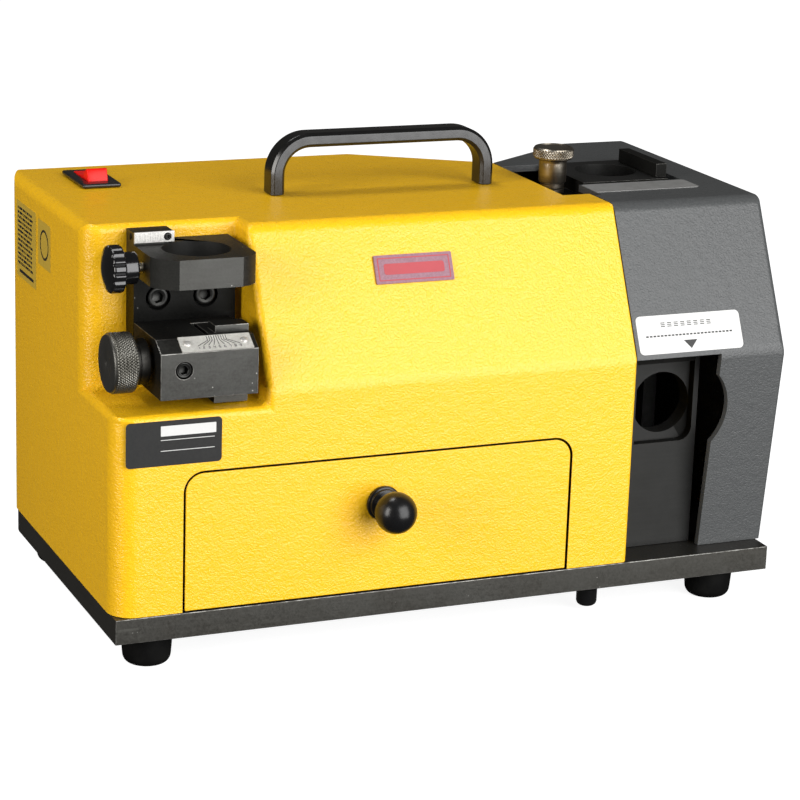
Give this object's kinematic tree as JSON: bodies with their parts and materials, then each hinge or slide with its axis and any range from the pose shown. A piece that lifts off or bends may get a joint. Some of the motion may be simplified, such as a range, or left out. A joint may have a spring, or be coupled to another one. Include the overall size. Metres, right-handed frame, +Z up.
{
  "type": "drill bit sharpener",
  "caption": "Bench drill and end mill sharpener: bevelled yellow and grey covers, carry handle, tool setting bracket, accessory drawer and two ring shelves over a grinding wheel.",
  "frame": {"origin": "centre of the machine's footprint box, on the floor under the rubber feet", "axes": "+X along the front from the setting bracket to the grinding end, +Y to the back, +Z up; the drawer faces -Y"},
  "size_m": [0.3532, 0.2154, 0.2367],
  "materials": {
    "yellow_powder_coat": "yellow powder coat with a coarse orange-peel texture",
    "grey_powder_coat": "dark grey powder coat, fine texture",
    "blackened_steel": "oil-blackened ground steel, edges rubbed lighter",
    "bright_steel": "ground steel",
    "nickel": "dull nickel plate",
    "black_plastic_gloss": "glossy black plastic",
    "black_paint": "glossy black paint",
    "red_plastic": "glossy red plastic",
    "black_rubber": "matte black rubber",
    "silver_plate": "satin aluminium plate",
    "pale_plate": "pale lilac printed plate, left blank",
    "zinc_sheet": "zinc-plated sheet",
    "cast_aluminium": "rough cast aluminium",
    "rotor_laminations": "stacked laminations",
    "abrasive": "bonded diamond abrasive",
    "white_plastic": "off-white moulding"
  },
  "bodies": {
    "machine": {"base_plate": "blackened_steel", "foot_front_left": "black_rubber", "foot_front_right": "black_rubber", "foot_rear_left": "black_rubber", "foot_rear_right": "black_rubber", "foot_screw_front_left": "bright_steel", "foot_screw_front_right": "bright_steel", "foot_screw_rear_left": "bright_steel", "foot_screw_rear_right": "bright_steel", "base_bolt": "black_paint", "main_casing": "yellow_powder_coat", "end_casing": "grey_powder_coat", "carry_handle": "black_paint", "handle_screw_left": "bright_steel", "handle_screw_right": "bright_steel", "switch_body": "black_plastic_gloss", "drawer_rail_left": "zinc_sheet", "drawer_rail_right": "zinc_sheet", "setting_bracket": "blackened_steel", "bracket_screw_left": "blackened_steel", "bracket_screw_right": "blackened_steel", "bracket_scale": "silver_plate", "scale_screw": "blackened_steel", "setting_block": "blackened_steel", "block_set_screw": "blackened_steel", "block_scale": "silver_plate", "scale_rivet_left": "silver_plate", "scale_rivet_right": "silver_plate", "front_shelf": "blackened_steel", "top_shelf": "blackened_steel", "stop_bar": "blackened_steel", "shelf_post": "cast_aluminium", "thumb_washer": "nickel", "motor_housing": "cast_aluminium", "motor_bell_left": "cast_aluminium", "motor_bell_right": "cast_aluminium", "bearing_left": "bright_steel", "bearing_right": "bright_steel", "motor_mount": "cast_aluminium", "run_capacitor": "white_plastic", "mains_inlet": "black_plastic_gloss", "name_plate": "pale_plate"},
    "drawer": {"drawer_front": "yellow_powder_coat", "drawer_tray": "zinc_sheet", "drawer_knob": "black_plastic_gloss"},
    "rocker": {"switch_rocker": "red_plastic"},
    "clamp_tip": {"clamp_pad": "bright_steel"},
    "clamp_screw": {"clamp_knob": "black_plastic_gloss", "clamp_stud": "nickel"},
    "adjuster": {"adjust_knob": "blackened_steel", "adjust_collar": "blackened_steel", "lead_screw": "bright_steel"},
    "jaw": {"sliding_jaw": "blackened_steel"},
    "thumb_point": {"thumb_tip": "bright_steel"},
    "thumb": {"thumb_screw": "nickel"},
    "spindle": {"motor_shaft": "bright_steel", "rotor": "rotor_laminations", "wheel_flange": "bright_steel", "grinding_wheel": "abrasive", "wheel_nut": "bright_steel"}
  },
  "joints": [
    {"name": "drawer_slide", "type": "slide", "parent": "machine", "child": "drawer", "axis": [0, -1, 0], "range_m": [0, 0.055]},
    {"name": "rocker_tilt", "type": "hinge", "parent": "machine", "child": "rocker", "pos_m": [-0.14325, 0.0686, 0.2077], "axis": [1, 0, 0], "range_deg": [0, 24]},
    {"name": "clamp_advance", "type": "slide", "parent": "machine", "child": "clamp_tip", "axis": [1, 0, 0], "range_m": [0, 0.00301]},
    {"name": "clamp_turn", "type": "hinge", "parent": "clamp_tip", "child": "clamp_screw", "pos_m": [-0.16575, -0.0571, 0.1913], "axis": [1, 0, 0], "range_deg": [0, 1080]},
    {"name": "adjust_turn", "type": "hinge", "parent": "machine", "child": "adjuster", "pos_m": [-0.16575, -0.0666, 0.1493], "axis": [1, 0, 0], "range_deg": [-1440, 648]},
    {"name": "jaw_slide", "type": "slide", "parent": "machine", "child": "jaw", "axis": [1, 0, 0], "range_m": [-0.00181, 0.00401]},
    {"name": "thumb_lift", "type": "slide", "parent": "machine", "child": "thumb_point", "axis": [0, 0, 1], "range_m": [0, 0.00201]},
    {"name": "thumb_turn", "type": "hinge", "parent": "thumb_point", "child": "thumb", "pos_m": [0.08675, 0.0124, 0.2087], "axis": [0, 0, 1], "range_deg": [0, 720]},
    {"name": "spindle_turn", "type": "hinge", "parent": "machine", "child": "spindle", "pos_m": [0.02425, 0.0304, 0.1087], "axis": [1, 0, 0], "continuous": true}
  ],
  "couplings": [
    {"joint": "clamp_advance", "follows": "clamp_turn", "m_per_rad": 0.00015915},
    {"joint": "jaw_slide", "follows": "adjust_turn", "m_per_rad": -0.00015915},
    {"joint": "thumb_lift", "follows": "thumb_turn", "m_per_rad": 0.00015915}
  ]
}
